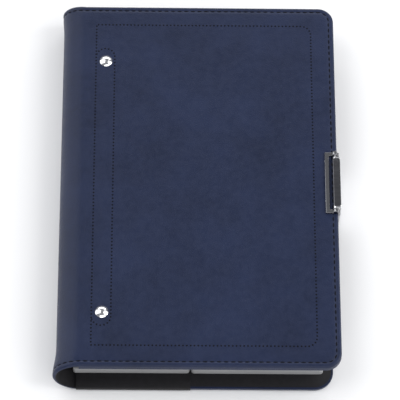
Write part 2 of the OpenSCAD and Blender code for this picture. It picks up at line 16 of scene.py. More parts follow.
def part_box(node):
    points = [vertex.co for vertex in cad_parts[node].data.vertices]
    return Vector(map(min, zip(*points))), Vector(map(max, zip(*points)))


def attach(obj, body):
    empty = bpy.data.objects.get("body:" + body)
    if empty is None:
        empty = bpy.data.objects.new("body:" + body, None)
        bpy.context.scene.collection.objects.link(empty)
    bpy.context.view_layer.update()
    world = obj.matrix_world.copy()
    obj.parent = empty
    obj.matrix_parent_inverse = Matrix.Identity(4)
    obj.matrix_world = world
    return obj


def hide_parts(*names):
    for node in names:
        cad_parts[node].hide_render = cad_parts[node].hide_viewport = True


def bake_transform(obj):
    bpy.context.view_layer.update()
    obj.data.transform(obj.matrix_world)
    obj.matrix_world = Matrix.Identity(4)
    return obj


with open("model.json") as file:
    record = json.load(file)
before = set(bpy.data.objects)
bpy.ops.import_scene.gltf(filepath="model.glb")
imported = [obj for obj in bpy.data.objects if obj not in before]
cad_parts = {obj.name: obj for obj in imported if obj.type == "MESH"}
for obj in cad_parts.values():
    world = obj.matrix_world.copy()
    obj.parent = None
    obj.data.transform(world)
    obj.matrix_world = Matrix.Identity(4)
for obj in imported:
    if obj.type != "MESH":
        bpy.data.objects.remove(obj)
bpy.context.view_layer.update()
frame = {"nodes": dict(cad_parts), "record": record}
nodes = frame["nodes"]
mm = 0.001
print("solids in the frame:", len(nodes))

# %% [markdown]
# ## The sizes that everything else hangs on
# The front cover's box gives its free edge and its top; its half-length is given as 142 mm. The
# spine is half a tube, as high as the whole case, so its axis lies half-way up and one radius in
# from the outside. A point counts as lying on a line when it is within a hundredth of a millimetre
# of it.

# %% Driving sizes
front_low, front_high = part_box("front_leather")
back_low, back_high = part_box("back_leather")
spine_low, spine_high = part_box("spine_leather")
top = front_high.z
spine_r = top / 2
spine_x = spine_low.x + spine_r
spine_z = spine_r
free_x = front_high.x
back_x = back_high.x
half_front = 142 * mm
half_back = back_high.y
front_corner = 11 * mm
back_corner = 13 * mm
lining_t = 0.5 * mm
front_wall = front_high.z - front_low.z
back_wall = 3.9 * mm
rivets_low, rivets_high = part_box("dome_rivets")
dome_r = 4.5 * mm
close = 0.01 * mm
near_rivet_y, far_rivet_y = rivets_low.y + dome_r, rivets_high.y - dome_r

# %% [markdown]
# ## Camera, light and floor
# The case lies on a pale table and is seen from the near end, a little over sixty degrees up,
# with a long lens that keeps its sides nearly parallel. The camera's axes are worked out from
# three angles, and a slight roll levels the near edge.

# %% Camera
def aim_camera(target, elevation, azimuth, roll, distance, lens):
    e, a, r = (math.radians(v) for v in (elevation, azimuth, roll))
    away = Vector((math.cos(e) * math.sin(a), -math.cos(e) * math.cos(a), math.sin(e)))
    side = (-away).cross(Vector((0, 0, 1))).normalized()
    up = side.cross(-away)
    right = side * math.cos(r) + up * math.sin(r)
    upright = up * math.cos(r) - side * math.sin(r)
    data = bpy.data.cameras.new("camera")
    data.lens = lens
    data.clip_start, data.clip_end = 0.05, 20
    camera = bpy.data.objects.new("camera", data)
    place = Matrix((right, upright, away)).transposed().to_4x4()
    place.translation = Vector(target) + away * distance
    camera.matrix_world = place
    bpy.context.collection.objects.link(camera)
    bpy.context.scene.camera = camera
    return camera


camera = aim_camera((1 * mm, -6 * mm, 14 * mm), 62.55, -2.05, 2.27, 1.918, 245)
print("camera at", [round(v, 3) for v in camera.matrix_world.translation])

# %% Light and floor
def area_light(name, place, target, size, power):
    data = bpy.data.lights.new(name, "AREA")
    data.shape, data.size, data.size_y = "RECTANGLE", size[0], size[1]
    data.energy = power
    light = bpy.data.objects.new(name, data)
    light.location = place
    light.rotation_euler = (Vector(target) - Vector(place)).to_track_quat("-Z", "Y").to_euler()
    bpy.context.collection.objects.link(light)
    return light


LIGHTS = (
    ("left_light", (-1.3, 0.25, 1.0), (1.6, 2.6), 21),
    ("right_light", (1.35, -0.1, 0.85), (1.1, 1.9), 19),
    ("back_light", (0.1, 1.5, 0.8), (2.8, 0.9), 18),
    ("near_light", (0.35, -1.4, 0.8), (2.4, 0.8), 12),
)
for name, place, size, power in LIGHTS:
    area_light(name, place, (0, 0, 0), size, power)

world = bpy.data.worlds.new("studio")
bpy.context.scene.world = world
world.use_nodes = True
world.node_tree.nodes["Background"].inputs["Color"].default_value = (0.93, 0.95, 1, 1)
world.node_tree.nodes["Background"].inputs["Strength"].default_value = 0.33
bpy.context.scene.view_settings.view_transform = "Standard"


def simple_floor():
    bpy.ops.mesh.primitive_plane_add(size=6, location=(0, 0, -0.0002))
    floor = bpy.context.active_object
    floor.name = "floor"
    material = bpy.data.materials.new("pale_table")
    material.use_nodes = True
    shader = material.node_tree.nodes["Principled BSDF"]
    shader.inputs["Base Color"].default_value = (0.92, 0.92, 0.925, 1)
    shader.inputs["Roughness"].default_value = 0.9
    shader.inputs["Specular IOR Level"].default_value = 0.1
    floor.data.materials.append(material)


simple_floor()

# %% [markdown]
# ## How the materials are built
# Every finish is a small node tree on Object coordinates, so it stays put on its piece. A helper
# lays down noise, a colour ramp, bumps and the links between them. The recipes that follow only
# say which pattern goes where.

# %% Material helpers
class Finish:
    """A material with its shader and short calls that add nodes to it."""

    def __init__(self, name, **constants):
        self.material = bpy.data.materials.new(name)
        self.material.use_nodes = True
        self.tree = self.material.node_tree
        self.shader = self.tree.nodes["Principled BSDF"]
        self.place = self.node("ShaderNodeTexCoord").outputs["Object"]
        self.bump_out = None
        for key, value in constants.items():
            self.shader.inputs[key.replace("_", " ")].default_value = value

    def node(self, kind, **settings):
        made = self.tree.nodes.new(kind)
        for key, value in settings.items():
            if key in made.inputs:
                made.inputs[key].default_value = value
            else:
                setattr(made, key, value)
        return made

    def link(self, a, b):
        self.tree.links.new(a, b)

    def noise(self, scale, detail=3.0, roughness=0.55, stretch=(1, 1, 1)):
        mapping = self.node("ShaderNodeMapping")
        mapping.inputs["Scale"].default_value = stretch
        self.link(self.place, mapping.inputs["Vector"])
        noise = self.node("ShaderNodeTexNoise", Scale=scale, Detail=detail, Roughness=roughness)
        self.link(mapping.outputs["Vector"], noise.inputs["Vector"])
        return noise.outputs["Fac"]

    def cells(self, scale):
        cells = self.node("ShaderNodeTexVoronoi", feature="F1", Scale=scale)
        self.link(self.place, cells.inputs["Vector"])
        return cells.outputs["Distance"]

    def ramp(self, value, stops):
        ramp = self.node("ShaderNodeValToRGB")
        elements = ramp.color_ramp.elements
        while len(elements) < len(stops):
            elements.new(0.5)
        for element, (position, color) in zip(elements, stops):
            element.position, element.color = position, color
        self.link(value, ramp.inputs["Fac"])
        return ramp.outputs["Color"]

    def range(self, value, low, high, to_low=0.0, to_high=1.0):
        made = self.node("ShaderNodeMapRange")
        for name, number in (("From Min", low), ("From Max", high), ("To Min", to_low),
                             ("To Max", to_high)):
            made.inputs[name].default_value = number
        self.link(value, made.inputs["Value"])
        return made.outputs["Result"]

    def mix(self, factor, a, b):
        made = self.node("ShaderNodeMix", data_type="RGBA")
        for socket, value in ((made.inputs[0], factor), (made.inputs[6], a), (made.inputs[7], b)):
            if isinstance(value, (int, float, tuple)):
                socket.default_value = value
            else:
                self.link(value, socket)
        return made.outputs[2]

    def bump(self, height, distance, strength=1.0):
        made = self.node("ShaderNodeBump", Distance=distance, Strength=strength)
        self.link(height, made.inputs["Height"])
        if self.bump_out is not None:
            self.link(self.bump_out, made.inputs["Normal"])
        self.bump_out = made.outputs["Normal"]
        self.link(self.bump_out, self.shader.inputs["Normal"])

    def color(self, socket):
        self.link(socket, self.shader.inputs["Base Color"])

    def roughness(self, socket):
        self.link(socket, self.shader.inputs["Roughness"])


# %% [markdown]
# ## Navy leather
# The covers are a smooth coated leather with a fine grain. Three things make it: faint cloudy
# patches of colour, a pebble of tiny cells as bump, and long shallow waves where the skin lies
# over the foam.

# %% Leather
def leather(name, base=(0.0125, 0.019, 0.0483)):
    made = Finish(name, Specular_IOR_Level=0.22)
    dark = tuple(v * 0.82 for v in base) + (1,)
    light = tuple(v * 1.2 for v in base) + (1,)
    cloud = made.ramp(made.noise(26, 4, 0.6), [(0.3, dark), (0.7, light)])
    fine = made.noise(240, 3, 0.6)
    spotted = made.mix(made.range(fine, 0.35, 0.7, 0, 0.22), cloud,
                       tuple(v * 1.55 for v in base) + (1,))
    made.bump(made.noise(30, 2, 0.5), 0.0006, 0.35)
    made.bump(made.noise(620, 4, 0.65), 0.00022, 0.5)
    made.bump(made.cells(1150), 0.00012, 0.55)
    made.roughness(made.range(fine, 0.3, 0.7, 0.34, 0.46))
    made.color(spotted)
    return made.material


navy = leather("navy_leather")
print("leather made:", len(navy.node_tree.nodes), "nodes")

# %% [markdown]
# ## The other finishes
# The rest follow the same pattern: a base colour with a little variation, and a bump at the scale
# of the real surface, from moulded plastic to brushed steel.

# %% Plain finishes
def mottled(name, base, spread=0.1, scale=60, rough=0.5, rough_spread=0.06, grain=900,
            grain_depth=0.00004, stretch=(1, 1, 1), **constants):
    made = Finish(name, **constants)
    low = tuple(max(v * (1 - spread), 0) for v in base) + (1,)
    high = tuple(min(v * (1 + spread), 1) for v in base) + (1,)
    made.color(made.ramp(made.noise(scale, 3, 0.5, stretch), [(0.35, low), (0.65, high)]))
    fine = made.noise(grain, 3, 0.6, stretch)
    made.roughness(made.range(fine, 0.3, 0.7, rough - rough_spread, rough + rough_spread))
    made.bump(fine, grain_depth, 0.6)
    return made.material


finishes = {
    "navy_leather": navy,
    "black_lining": mottled("black_lining", (0.0065, 0.006, 0.008), 0.25, 300, 0.66, 0.08, 1900,
                            0.00012, Specular_IOR_Level=0.3, Sheen_Weight=0.12),
    "stiff_board": mottled("stiff_board", (0.25, 0.2, 0.14), 0.18, 180, 0.85, 0.05, 700, 0.0001),
    "padding": mottled("padding", (0.7, 0.66, 0.58), 0.08, 300, 0.9, 0.04, 1200, 0.0002),
    "deck_plastic": mottled("deck_plastic", (0.36, 0.362, 0.37), 0.04, 30, 0.46, 0.05, 2400,
                            0.00004),
    "key_plastic": mottled("key_plastic", (0.013, 0.0135, 0.016), 0.15, 90, 0.42, 0.07, 2600,
                           0.00003),
    "pad_plastic": mottled("pad_plastic", (0.15, 0.152, 0.16), 0.05, 40, 0.33, 0.04, 2600,
                           0.00002),
    "clear_plastic": mottled("clear_plastic", (0.75, 0.8, 0.82), 0.03, 200, 0.15, 0.03, 800,
                             0.00001, Transmission_Weight=0.4),
    "dome_rubber": mottled("dome_rubber", (0.5, 0.5, 0.48), 0.06, 90, 0.55, 0.05, 900, 0.00005),
    "circuit": mottled("circuit", (0.02, 0.12, 0.06), 0.25, 220, 0.35, 0.08, 500, 0.00005),
    "flex": mottled("flex", (0.5, 0.2, 0.03), 0.1, 200, 0.3, 0.05, 600, 0.00002),
    "cell_pouch": mottled("cell_pouch", (0.5, 0.52, 0.54), 0.06, 120, 0.35, 0.08, 300, 0.0002,
                          Metallic=0.9),
    "socket_steel": mottled("socket_steel", (0.6, 0.61, 0.63), 0.05, 200, 0.3, 0.06, 700,
                            0.00002, (1, 8, 1), Metallic=1.0),
    "hinge_steel": mottled("hinge_steel", (0.56, 0.57, 0.59), 0.06, 200, 0.33, 0.07, 500,
                           0.00003, (1, 9, 1), Metallic=1.0),
    "screw_steel": mottled("screw_steel", (0.52, 0.53, 0.55), 0.06, 200, 0.35, 0.07, 900,
                           0.00002, Metallic=1.0),
    "chrome": mottled("chrome", (0.8, 0.8, 0.81), 0.03, 90, 0.09, 0.035, 260, 0.00001,
                      Metallic=1.0),
    # The bow's chrome is a darker copy of the rivets' chrome: its low base colour is painted dark
    # reflection.
    "chrome_with_painted_dark_reflection": mottled("chrome_with_painted_dark_reflection", (0.3, 0.3, 0.31), 0.03, 90, 0.1, 0.035, 260, 0.00001,
                            Metallic=1.0),
    "dark_chrome": mottled("dark_chrome", (0.17, 0.17, 0.18), 0.12, 60, 0.16, 0.05, 420,
                           0.00002, (1, 6, 1), Metallic=1.0),
    "magnet": mottled("magnet", (0.6, 0.6, 0.61), 0.05, 150, 0.25, 0.05, 500, 0.00002,
                      Metallic=1.0),
}
thread = mottled("navy_thread", (0.0025, 0.003, 0.008), 0.2, 500, 0.7, 0.06, 2600, 0.00008,
                 Specular_IOR_Level=0.15)


def dress(obj, material):
    obj.data.materials.clear()
    obj.data.materials.append(material)


for part in frame["record"]["subparts"]:
    dress(nodes[part["node"]], finishes[part["material_slot"]])
print("finishes:", len(finishes) + 1)

# %% [markdown]
# ## Softened edges on the moulded and metal pieces
# A real moulding or stamping never ends in a knife edge, and the thin highlight on its rounded
# corner is what makes it look solid. The frame's solids come as loose triangles, so they are
# welded first, and a narrow bevel then rounds what turns by more than thirty degrees.

# %% Bevels on frame solids
def round_edges(obj, width, segments=2, angle=30):
    rounding = obj.modifiers.new("edge", "BEVEL")
    rounding.width, rounding.segments = width, segments
    rounding.limit_method, rounding.angle_limit = "ANGLE", math.radians(angle)


def soften(node, width, segments=2):
    weld = nodes[node].modifiers.new("weld", "WELD")
    weld.merge_threshold = close
    round_edges(nodes[node], width, segments)


for row in ("number_row_keys", "tab_row_keys", "home_row_keys", "shift_row_keys",
            "bottom_row_keys", "space_bar"):
    soften(row, 0.35 * mm)
for shell in ("keyboard_top", "palm_top", "keyboard_base", "palm_base"):
    soften(shell, 0.25 * mm)
for small in ("left_pad_button", "right_pad_button", "power_switch", "connect_button",
              "corner_holders", "holder_panel", "catch_block", "moving_hinge_leaves",
              "fixed_hinge_leaves", "usb_socket", "flap_magnet", "catch_magnet"):
    soften(small, 0.15 * mm)

# %% [markdown]
# ## The leather skins
# One sheet of leather covers the front, turns round the spine and covers the back. It folds at two
# places, so it is made as two halves that meet in the middle of the spine, where nothing bends.
# Each half starts as a plane: its free corners are rounded with a vertex bevel, and rings are
# inset where the rim, the stitch channel and the padded field change height. The plane is cut off
# at the spine, and the cut edge is spun a quarter turn round the spine's axis.

# %% Small helpers for edit mode
def deselect():
    if bpy.context.mode != "OBJECT":
        bpy.ops.object.mode_set(mode="OBJECT")
    bpy.ops.object.select_all(action="DESELECT")


def pick(obj):
    deselect()
    obj.select_set(True)
    bpy.context.view_layer.objects.active = obj


def select_parts(obj, kind, test):
    """In edit mode, selects the vertices, edges or faces that pass the test."""
    mesh = bmesh.from_edit_mesh(obj.data)
    mode = {"verts": "VERT", "edges": "EDGE", "faces": "FACE"}[kind]
    bpy.ops.mesh.select_mode(type=mode)
    bpy.ops.mesh.select_all(action="DESELECT")
    mesh = bmesh.from_edit_mesh(obj.data)
    count = 0
    for part in getattr(mesh, kind):
        if test(part):
            part.select_set(True)
            count += 1
    mesh.select_flush_mode()
    bmesh.update_edit_mesh(obj.data)
    return count


def apply_all(obj):
    pick(obj)
    for modifier in list(obj.modifiers):
        bpy.ops.object.modifier_apply(modifier=modifier.name)


def smooth(obj, angle=40):
    pick(obj)
    bpy.ops.object.shade_smooth_by_angle(angle=math.radians(angle))


def flat_sheet(name, x0, x1, y0, y1, z):
    """A level plane with these four sides."""
    deselect()
    bpy.ops.mesh.primitive_plane_add(size=1, location=((x0 + x1) / 2, (y0 + y1) / 2, z))
    obj = bpy.context.active_object
    obj.name = name
    obj.scale = (x1 - x0, y1 - y0, 1)
    bpy.ops.object.transform_apply(location=True, rotation=True, scale=True)
    return obj


def cut_ends(half, distances):
    """In edit mode, cuts the whole sheet across at these distances in from both its ends."""
    for end in (-1, 1):
        for inward in distances:
            bpy.ops.mesh.select_all(action="SELECT")
            bpy.ops.mesh.bisect(plane_co=(0, end * (half - inward * mm), 0), plane_no=(0, 1, 0))


def round_corners(obj, x1, radius):
    """In edit mode, rounds the sheet's two corners at x1."""
    select_parts(obj, "verts", lambda v: v.co.x > x1 - 1 * mm)
    bpy.ops.mesh.bevel(offset=radius, offset_type="OFFSET", segments=12, affect="VERTICES")


def thicken(obj, thickness, offset=-1, even=False):
    wall = obj.modifiers.new("thickness", "SOLIDIFY")
    wall.thickness, wall.offset, wall.use_even_offset = thickness, offset, even


# Height of the leather at a distance in from its free edge, in millimetres.
RIM = [(0, -2.0), (0.12, -1.35), (0.5, -0.62), (1.1, -0.15), (1.9, 0), (2.7, -0.05),
       (3.15, -0.24), (3.6, -0.4), (4.05, -0.26), (4.7, -0.08), (6.2, 0.0)]


def edge_distance(x, y, x1, half, radius):
    """Distance in from the outline, which is open towards the spine."""
    dx, dy = x - (x1 - radius), abs(y) - (half - radius)
    if dx > 0 and dy > 0:
        return radius - math.hypot(dx, dy)
    return min(x1 - x, half - abs(y))


# %% A cover's outer sheet
PAST_CUT = 14 * mm
TURNED_IN = 5 * mm
RIM_DROP = 2 * mm


def cover_sheet(name, x1, half, radius, wall):
    """The sheet lies at height 0 and faces up; its walls go down and turn in underneath."""
    obj = flat_sheet(name, spine_x - PAST_CUT, x1, -half, half, 0)
    bpy.ops.object.mode_set(mode="EDIT")
    round_corners(obj, x1, radius)
    select_parts(obj, "faces", lambda f: True)
    bpy.ops.mesh.duplicate()
    bpy.ops.transform.translate(value=(0, 0, -wall))
    bpy.ops.mesh.inset(thickness=TURNED_IN)
    bpy.ops.mesh.delete(type="FACE")
    select_parts(obj, "faces", lambda f: f.calc_center_median().z > -wall / 2)
    for (near, _), (far, _) in zip(RIM, RIM[1:]):
        bpy.ops.mesh.inset(thickness=(far - near) * mm)
    select_parts(obj, "faces", lambda f: True)
    bpy.ops.mesh.bisect(plane_co=(spine_x, 0, 0), plane_no=(1, 0, 0), clear_inner=True)
    cut_ends(half, (8, 12, 16, 20, 28, 60, 100))
    bpy.ops.object.mode_set(mode="OBJECT")
    depth = [d * mm for d, _ in RIM]
    height = [h * mm for _, h in RIM]
    for v in obj.data.vertices:
        if v.co.z > -wall / 2:
            d = edge_distance(v.co.x, v.co.y, x1, half, radius)
            v.co.z = float(np.interp(d, depth, height))
    bpy.ops.object.mode_set(mode="EDIT")
    rim = select_parts(obj, "edges", lambda e: e.is_boundary and all(
        abs(v.co.z + RIM_DROP) < close
        and edge_distance(v.co.x, v.co.y, x1, half, radius) < 0.02 * mm for v in e.verts))
    bpy.ops.mesh.extrude_region_move(TRANSFORM_OT_translate={"value": (0, 0, RIM_DROP - wall)})
    bpy.ops.mesh.select_all(action="SELECT")
    bpy.ops.mesh.remove_doubles(threshold=0.02 * mm)
    bpy.ops.object.mode_set(mode="OBJECT")
    print(name, "rim edges", rim, "vertices", len(obj.data.vertices))
    return obj


def recalculate(obj):
    pick(obj)
    bpy.ops.object.mode_set(mode="EDIT")
    bpy.ops.mesh.select_all(action="SELECT")
    bpy.ops.mesh.normals_make_consistent(inside=False)
    bpy.ops.object.mode_set(mode="OBJECT")


def spin_edge(obj, test, angle, steps):
    """Spins the edges that pass the test round the spine's axis, towards the spine."""
    pick(obj)
    bpy.ops.object.mode_set(mode="EDIT")
    count = select_parts(obj, "edges", test)
    bpy.ops.mesh.spin(steps=steps, angle=angle, center=(spine_x, 0, spine_z), axis=(0, 1, 0))
    bpy.ops.object.mode_set(mode="OBJECT")
    return count


def spine_angle(co):
    """Degrees round the spine, 0 under it and 180 on top."""
    return math.degrees(math.atan2(spine_x - co.x, spine_z - co.z))


# %% Front and back sheets, each turned a quarter of the way round the spine
ARC_STEPS = 24
FRONT_TURN = math.pi / 2
FLARE_REACH = 20 * mm
FLARE_NEAR = 2.2 * mm
FLARE_FAR = 1.0 * mm
SKIN_T = 0.9 * mm


def round_the_spine(co, own_half=None):
    """Lengthens the sheet from the front cover's length to the back's and flares its two ends."""
    if co.x >= spine_x:
        return co
    share = spine_angle(co) / 180
    own_half = own_half or (half_front if share > 0.5 else half_back)
    half = half_back + (half_front - half_back) * share
    moved = Vector((co.x, co.y * half / own_half, co.z))
    reach = min(max((abs(moved.y) - half + FLARE_REACH) / FLARE_REACH, 0), 1)
    flare = (FLARE_NEAR if moved.y < 0 else FLARE_FAR) * reach * reach * (3 - 2 * reach)
    radial = Vector((co.x - spine_x, 0, co.z - spine_z)).normalized()
    return moved + radial * flare * math.sin(math.pi * share)


def face_out(obj, up):
    """The largest face tells which way the open sheet was turned."""
    largest = max(obj.data.polygons, key=lambda f: f.area)
    if (largest.normal.z > 0) != up:
        obj.data.flip_normals()


def finish_sheet(obj, up):
    for v in obj.data.vertices:
        v.co = round_the_spine(v.co)
    recalculate(obj)
    face_out(obj, up)
    thicken(obj, SKIN_T, even=True)
    apply_all(obj)
    smooth(obj, 35)


def at_cut(outside):
    """Tests for the edges of the outer face along the cut; outside is that face's height."""
    return lambda e: (e.is_boundary and all(abs(v.co.x - spine_x) < close
                                            and abs(v.co.z - outside) < RIM_DROP + 10 * close
                                            for v in e.verts))


front_sheet = cover_sheet("front_leather_skin", free_x, half_front, front_corner, front_wall)
front_sheet.data.transform(Matrix.Translation((0, 0, top)))
print("front edges spun:", spin_edge(front_sheet, at_cut(top), FRONT_TURN, ARC_STEPS))

back_sheet = cover_sheet("back_leather_skin", back_x, half_back, back_corner, back_wall)
back_sheet.data.transform(Matrix.Scale(-1, 4, (0, 0, 1)))
print("back edges spun:", spin_edge(back_sheet, at_cut(0), -FRONT_TURN, ARC_STEPS))
finish_sheet(front_sheet, True)
finish_sheet(back_sheet, False)
dress(front_sheet, navy)
dress(back_sheet, navy)

# %% [markdown]
# ## Where the spine folds
# The spine folds along two lines, where the round part leaves each cover. Here each half only has
# its transform baked into its mesh; no blend is made at the folds.


def on_spine(degrees, y=0.0, radius=None):
    """A point on the spine's outside, counted from its underside."""
    a, r = math.radians(degrees), radius or spine_r
    return Vector((spine_x - r * math.sin(a), y, spine_z - r * math.cos(a)))


def bend_front(obj):
    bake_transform(obj)


def bend_back(obj):
    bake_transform(obj)


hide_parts("front_leather")
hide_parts("back_leather", "spine_leather")
bend_front(front_sheet)
bend_back(back_sheet)

# %% [markdown]
# ## The black lining inside the spine
# The lining runs from the inside of one cover round to the other. Its profile is a short flat, a
# step up the edge of the board, and then a quarter turn, so a narrow plane is extruded once and
# its edge spun. The upper and the lower half each follow their own fold.

# %% Spine lining
LINING_R = 13.9 * mm
LINING_IN = 1.5 * mm
LINING_END = 0.4 * mm
LINING_LAP = 0.3 * mm
FLARE_CUTS = (4, 8, 12, 16, 20)


def spine_lining(name, height, toward, half, turn):
    """height is the cover's lining, and toward the height at which the round part starts."""
    obj = flat_sheet(name, spine_x, spine_x + LINING_IN, -half, half, height)
    bpy.ops.object.mode_set(mode="EDIT")
    cut_ends(half, FLARE_CUTS)
    select_parts(obj, "edges", lambda e: all(v.co.x < spine_x + close for v in e.verts))
    bpy.ops.mesh.extrude_region_move(TRANSFORM_OT_translate={"value": (0, 0, toward - height)})
    bpy.ops.object.mode_set(mode="OBJECT")
    spun = spin_edge(obj, lambda e: all(abs(v.co.z - toward) < close for v in e.verts),
                     turn, ARC_STEPS)
    print(name, "edges spun:", spun)
    recalculate(obj)
    for v in obj.data.vertices:
        v.co = round_the_spine(v.co)
    thicken(obj, lining_t, 0)
    apply_all(obj)
    recalculate(obj)
    smooth(obj)
    dress(obj, finishes["black_lining"])
    return obj


# %% [markdown]
# ## The stiff strip in the spine
# A strip of board between the leather and the lining keeps the spine round. It is an open tube
# laid along the spine and bisected twice by planes through its axis, which leaves the arc between
# the two folds. It flares with the leather at both ends, so it stays hidden between the two.

# %% The stiff strip between the leather and the lining
CORE_R = 14.5 * mm
CORE_T = 0.8 * mm
CORE_IN = 2.2 * mm
CORE_FROM, CORE_TO = 45.6, 134.4


def spine_strip():
    """An open tube turned along the spine, cut down to the part between the two folds."""
    deselect()
    bpy.ops.mesh.primitive_cylinder_add(vertices=96, radius=CORE_R, end_fill_type="NOTHING",
                                        depth=2 * (half_back - CORE_IN),
                                        location=(spine_x, 0, spine_z),
                                        rotation=(math.pi / 2, 0, 0))
    obj = bpy.context.active_object
    obj.name = "spine_stiffener"
    bpy.ops.object.transform_apply(location=True, rotation=True, scale=True)
    bpy.ops.object.mode_set(mode="EDIT")
    for angle, turned in ((CORE_FROM, 1), (CORE_TO, -1)):
        a = math.radians(angle)
        bpy.ops.mesh.select_all(action="SELECT")
        bpy.ops.mesh.bisect(plane_co=(spine_x, 0, spine_z), clear_inner=True,
                            plane_no=(-math.cos(a) * turned, 0, math.sin(a) * turned))
    cut_ends(half_back, FLARE_CUTS)
    bpy.ops.object.mode_set(mode="OBJECT")
    for v in obj.data.vertices:
        v.co = round_the_spine(v.co, half_back)
    thicken(obj, CORE_T, 0)
    apply_all(obj)
    recalculate(obj)
    smooth(obj)
    dress(obj, finishes["stiff_board"])
    print("core vertices:", len(obj.data.vertices))
    return obj


core = spine_strip()
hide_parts("spine_core")
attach(core, "spine")

# %% [markdown]
# The lining comes as two halves for the same reason as the leather: each half crosses one fold
# only, and they meet where nothing bends.

# %% Both halves of the spine lining
upper_lining = spine_lining("spine_lining_upper_half", front_low.z + LINING_LAP,
                            spine_z + LINING_R, half_front - LINING_END, FRONT_TURN)
lower_lining = spine_lining("spine_lining_lower_half", back_wall - LINING_LAP,
                            spine_z - LINING_R, half_back - LINING_END, -FRONT_TURN)
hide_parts("spine_lining")
bend_front(upper_lining)
bend_back(lower_lining)

# %% [markdown]
# ## The black linings of the two covers
# Inside, a black lining covers the board and most of the turned-in leather, and leaves a narrow
# navy rim. Its outline is the cover's own, set in by a few millimetres, and its edge is thin
# enough to read as cloth. It is a plane with two corners rounded by a vertex bevel.

# %% Cover linings
FRONT_RIM = 2.7 * mm
BACK_RIM = 1.3 * mm
LINING_RAISED = 0.09 * mm


def cover_lining(name, x1, half, radius, rim, height, up):
    x1, half = x1 - rim, half - rim
    obj = flat_sheet(name, spine_x + 0.7 * LINING_IN, x1, -half, half, height)
    bpy.ops.object.mode_set(mode="EDIT")
    round_corners(obj, x1, radius - rim)
    bpy.ops.object.mode_set(mode="OBJECT")
    recalculate(obj)
    face_out(obj, up)
    thicken(obj, lining_t)
    round_edges(obj, 0.12 * mm)
    apply_all(obj)
    smooth(obj, 30)
    dress(obj, finishes["black_lining"])
    return obj


front_inside = cover_lining("front_cover_lining", free_x, half_front, front_corner, FRONT_RIM,
                            front_low.z - LINING_RAISED, False)
back_inside = cover_lining("back_cover_lining", back_x, half_back, back_corner, BACK_RIM,
                           back_wall + LINING_RAISED, True)
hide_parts("front_lining")
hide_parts("back_lining")
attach(front_inside, "front_cover")
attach(back_inside, "back_cover")

# %% [markdown]
# ## The black flap at the near end
# A thin sheet lies on the back cover's margin beside the keyboard section and folds down over the
# edge. It is a plane whose outer edge is extruded three times, first down the curve and then down
# the side, before it is given its thickness.

# %% End flap
flap_low, flap_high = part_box("end_flap")
FLAP_T = 0.5 * mm
FLAP_FLAT_END = 0.5 * mm
FLAP_STEPS = ((-0.7, -0.3), (-0.35, -0.7), (0.0, -1.9))


def near_flap():
    flat_end = -half_back + FLAP_FLAT_END
    obj = flat_sheet("near_end_flap", flap_low.x, flap_high.x, flat_end, flap_high.y, flap_high.z)
    bpy.ops.object.mode_set(mode="EDIT")
    select_parts(obj, "edges", lambda e: all(v.co.y < flat_end + close for v in e.verts))
    for y, z in FLAP_STEPS:
        bpy.ops.mesh.extrude_region_move(TRANSFORM_OT_translate={"value": (0, y * mm, z * mm)})
    bpy.ops.object.mode_set(mode="OBJECT")
    recalculate(obj)
    face_out(obj, True)
    thicken(obj, FLAP_T)
    round_edges(obj, 0.14 * mm)
    apply_all(obj)
    smooth(obj, 50)
    dress(obj, finishes["black_lining"])
    return obj


end_flap = near_flap()
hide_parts("end_flap")
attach(end_flap, "back_cover")
print("flap depth:", round((flap_high.z - min(v.co.z for v in end_flap.data.vertices)) / mm, 1))

# %% [markdown]
# ## Stitching
# A stitch is a short length of thread that dives into the leather at both ends. One is modelled
# as a stretched sphere of a few dozen faces, then copied along each seam and turned to it. The
# seams are short lists of straight and round stretches, so their corners match the covers'.

# %% One stitch, and a seam of its copies
def stitch_shape():
    deselect()
    bpy.ops.mesh.primitive_uv_sphere_add(segments=8, ring_count=5, radius=0.5)
    obj = bpy.context.active_object
    bpy.ops.object.mode_set(mode="EDIT")
    select_parts(obj, "verts", lambda v: abs(v.co.z) < 0.2)
    bpy.ops.transform.resize(value=(1.12, 1.12, 1))
    bpy.ops.object.mode_set(mode="OBJECT")
    points = np.array([v.co for v in obj.data.vertices])
    faces = [list(f.vertices) for f in obj.data.polygons]
    bpy.data.objects.remove(obj)
    return points, faces


STITCH_POINTS, STITCH_FACES = stitch_shape()


def arc_points(center, radius, start, end, steps=14):
    """Points on an arc in a level plane, with angles in degrees."""
    return [Vector((center[0] + radius * math.cos(math.radians(a)),
                    center[1] + radius * math.sin(math.radians(a)), center[2]))
            for a in np.linspace(start, end, steps)]


def outward(point):
    if point.x >= spine_x:
        return Vector((0, 0, 1 if point.z > spine_z else -1))
    return Vector((point.x - spine_x, 0, point.z - spine_z)).normalized()


def walk(path, pitch):
    """Evenly spaced places along the path, with its direction at each."""
    points = np.array(path)
    steps = np.linalg.norm(np.diff(points, axis=0), axis=1)
    total = np.concatenate(([0], np.cumsum(steps)))
    count = max(2, round(total[-1] / pitch))
    for place in (np.arange(count) + 0.5) * total[-1] / count:
        n = min(int(np.searchsorted(total, place, side="right")) - 1, len(steps) - 1)
        along = (points[n + 1] - points[n]) / steps[n]
        yield Vector(points[n] + along * (place - total[n])), Vector(along)


def sew(name, path, pitch, length, width, height):
    """Copies the stitch along the path, its long side along the seam."""
    vertices, faces = [], []
    for place, along in walk(path, pitch):
        up = outward(place)
        side = up.cross(along).normalized()
        turned = np.array((side * width, up * height, along * length))
        base = len(vertices)
        vertices += (STITCH_POINTS @ turned + np.array(place)).tolist()
        faces += [[base + i for i in face] for face in STITCH_FACES]
    mesh = bpy.data.meshes.new(name)
    mesh.from_pydata(vertices, [], faces)
    obj = bpy.data.objects.new(name, mesh)
    bpy.context.collection.objects.link(obj)
    recalculate(obj)
    smooth(obj, 80)
    dress(obj, thread)
    print(name, "stitches:", len(vertices) // len(STITCH_POINTS))
    return obj


